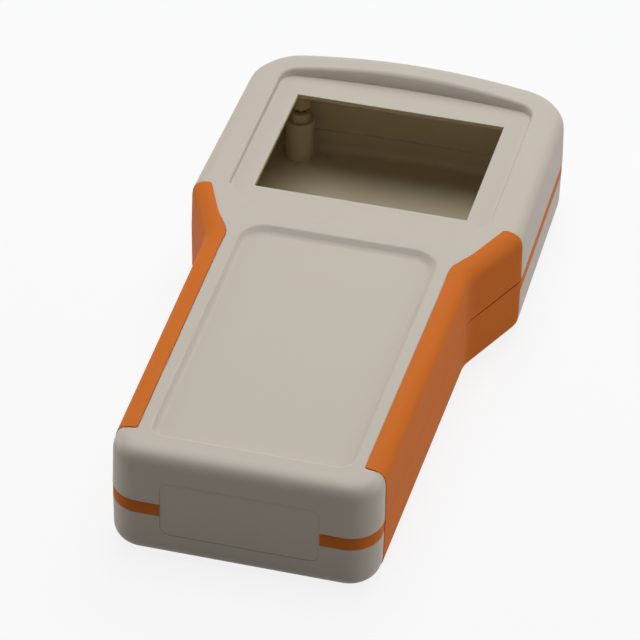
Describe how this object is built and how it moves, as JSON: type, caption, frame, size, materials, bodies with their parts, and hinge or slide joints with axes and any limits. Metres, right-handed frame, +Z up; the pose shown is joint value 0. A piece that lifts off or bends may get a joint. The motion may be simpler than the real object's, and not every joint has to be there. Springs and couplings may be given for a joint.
{
  "type": "handheld enclosure",
  "caption": "Two-part handheld instrument enclosure with a wide head, display window, keypad recess, soft side grips, a soft band along the parting line and a removable end panel.",
  "frame": {"origin": "middle of the back, under the centre of the box round the case", "axes": "+Z up out of the front face, +Y from the handle to the head, +X to the right seen from the front"},
  "size_m": [0.1002, 0.2056, 0.0374],
  "materials": {
    "shell": "fine satin moulded texture",
    "soft_grip": "matte soft elastomer",
    "screw": "zinc plated"
  },
  "bodies": {
    "root": {"upper_shell": "shell", "lower_shell": "shell", "seal_band": "soft_grip", "upper_grip_left": "soft_grip", "upper_grip_right": "soft_grip", "lower_grip_left": "soft_grip", "lower_grip_right": "soft_grip", "end_panel": "shell", "case_screws": "screw"}
  },
  "joints": []
}
